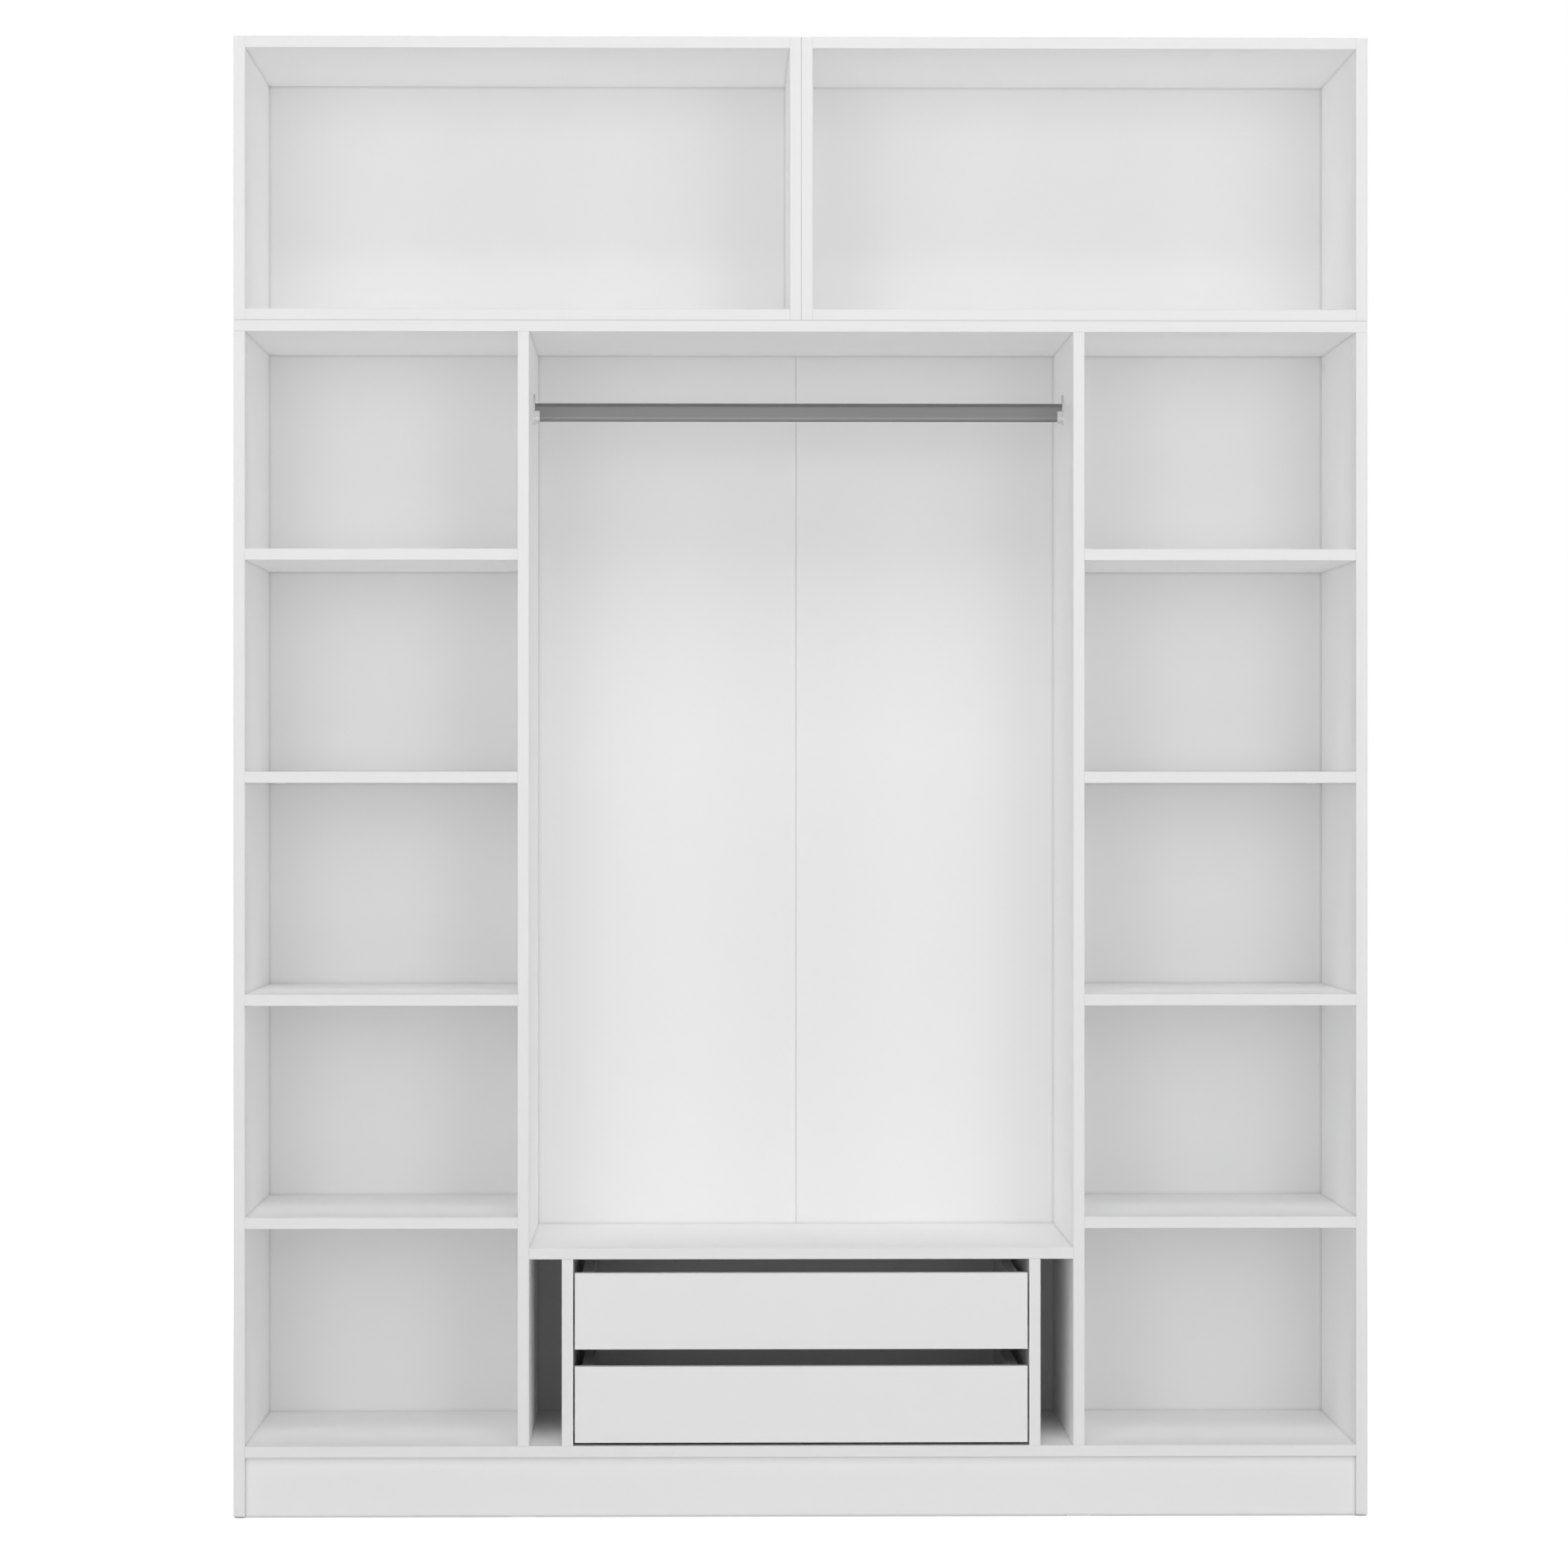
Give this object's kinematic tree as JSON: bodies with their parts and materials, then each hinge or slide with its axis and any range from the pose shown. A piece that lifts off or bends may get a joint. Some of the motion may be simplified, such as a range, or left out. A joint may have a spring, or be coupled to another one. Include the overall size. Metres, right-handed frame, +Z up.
{
  "type": "wardrobe",
  "caption": "Tall open white board wardrobe with shelf bays beside a hanging bay, an oval clothes rail, a low inner drawer unit, top boxes and a plinth.",
  "frame": {"origin": "middle of the footprint on the floor, at the underside of the glides", "axes": "+Z up, +X to the right seen from the front, +Y from the open front towards the back"},
  "size_m": [1.8, 0.5, 2.35],
  "materials": {
    "white_board": "white melamine-faced chipboard, fine satin",
    "white_sheet": "white-lacquered thin fibreboard, satin",
    "rail_steel": "dark satin-plated steel tube",
    "support_metal": "nickel-plated zinc casting",
    "slide_steel": "white epoxy-coated steel",
    "roller_plastic": "white nylon",
    "cam_metal": "bare zinc casting",
    "bolt_steel": "zinc-plated steel",
    "dowel_wood": "fluted beech",
    "screw_steel": "zinc-plated steel",
    "glide_plastic": "white nylon"
  },
  "bodies": {
    "cabinet": {"left_side": "white_board", "right_side": "white_board", "left_divider": "white_board", "right_divider": "white_board", "carcass_top": "white_board", "carcass_bottom": "white_board", "front_plinth": "white_board", "rear_plinth": "white_board", "left_shelf_1": "white_board", "left_shelf_2": "white_board", "left_shelf_3": "white_board", "left_shelf_4": "white_board", "right_shelf_1": "white_board", "right_shelf_2": "white_board", "right_shelf_3": "white_board", "right_shelf_4": "white_board", "drawer_unit_top": "white_board", "left_upright": "white_board", "right_upright": "white_board", "left_back": "white_sheet", "right_back": "white_sheet", "back_batten": "white_board", "left_box_outer_side": "white_board", "left_box_inner_side": "white_board", "left_box_top": "white_board", "left_box_bottom": "white_board", "left_box_back": "white_sheet", "right_box_outer_side": "white_board", "right_box_inner_side": "white_board", "right_box_top": "white_board", "right_box_bottom": "white_board", "right_box_back": "white_sheet", "clothes_rail": "rail_steel", "rail_supports": "support_metal", "cabinet_slides": "slide_steel", "cam_locks": "cam_metal", "cam_bolts": "bolt_steel", "dowels": "dowel_wood", "wood_screws": "screw_steel", "floor_glides": "glide_plastic"},
    "lower_drawer": {"lower_drawer_front": "white_board", "lower_drawer_left_side": "white_board", "lower_drawer_right_side": "white_board", "lower_drawer_back": "white_board", "lower_drawer_bottom": "white_sheet", "lower_drawer_slides": "slide_steel", "lower_drawer_dowels": "dowel_wood", "lower_drawer_screws": "screw_steel"},
    "lower_rear_roller_pair": {"lower_rear_rollers": "roller_plastic"},
    "lower_front_roller_pair": {"lower_front_rollers": "roller_plastic"},
    "upper_drawer": {"upper_drawer_front": "white_board", "upper_drawer_left_side": "white_board", "upper_drawer_right_side": "white_board", "upper_drawer_back": "white_board", "upper_drawer_bottom": "white_sheet", "upper_drawer_slides": "slide_steel", "upper_drawer_dowels": "dowel_wood", "upper_drawer_screws": "screw_steel"},
    "upper_rear_roller_pair": {"upper_rear_rollers": "roller_plastic"},
    "upper_front_roller_pair": {"upper_front_rollers": "roller_plastic"}
  },
  "joints": [
    {"name": "lower_drawer_slide", "type": "slide", "parent": "cabinet", "child": "lower_drawer", "axis": [0, -1, 0], "range_m": [0, 0.34]},
    {"name": "lower_rear_roller_spin", "type": "hinge", "parent": "lower_drawer", "child": "lower_rear_roller_pair", "pos_m": [0, 0.204, 0.1423], "axis": [1, 0, 0], "continuous": true},
    {"name": "lower_front_roller_spin", "type": "hinge", "parent": "cabinet", "child": "lower_front_roller_pair", "pos_m": [0, -0.216, 0.1443], "axis": [1, 0, 0], "continuous": true},
    {"name": "upper_drawer_slide", "type": "slide", "parent": "cabinet", "child": "upper_drawer", "axis": [0, -1, 0], "range_m": [0, 0.34]},
    {"name": "upper_rear_roller_spin", "type": "hinge", "parent": "upper_drawer", "child": "upper_rear_roller_pair", "pos_m": [0, 0.204, 0.2903], "axis": [1, 0, 0], "continuous": true},
    {"name": "upper_front_roller_spin", "type": "hinge", "parent": "cabinet", "child": "upper_front_roller_pair", "pos_m": [0, -0.216, 0.2923], "axis": [1, 0, 0], "continuous": true}
  ],
  "couplings": [
    {"joint": "lower_rear_roller_spin", "follows": "lower_drawer_slide", "rad_per_m": 111.11},
    {"joint": "lower_front_roller_spin", "follows": "lower_drawer_slide", "rad_per_m": 111.11},
    {"joint": "upper_rear_roller_spin", "follows": "upper_drawer_slide", "rad_per_m": 111.11},
    {"joint": "upper_front_roller_spin", "follows": "upper_drawer_slide", "rad_per_m": 111.11}
  ]
}
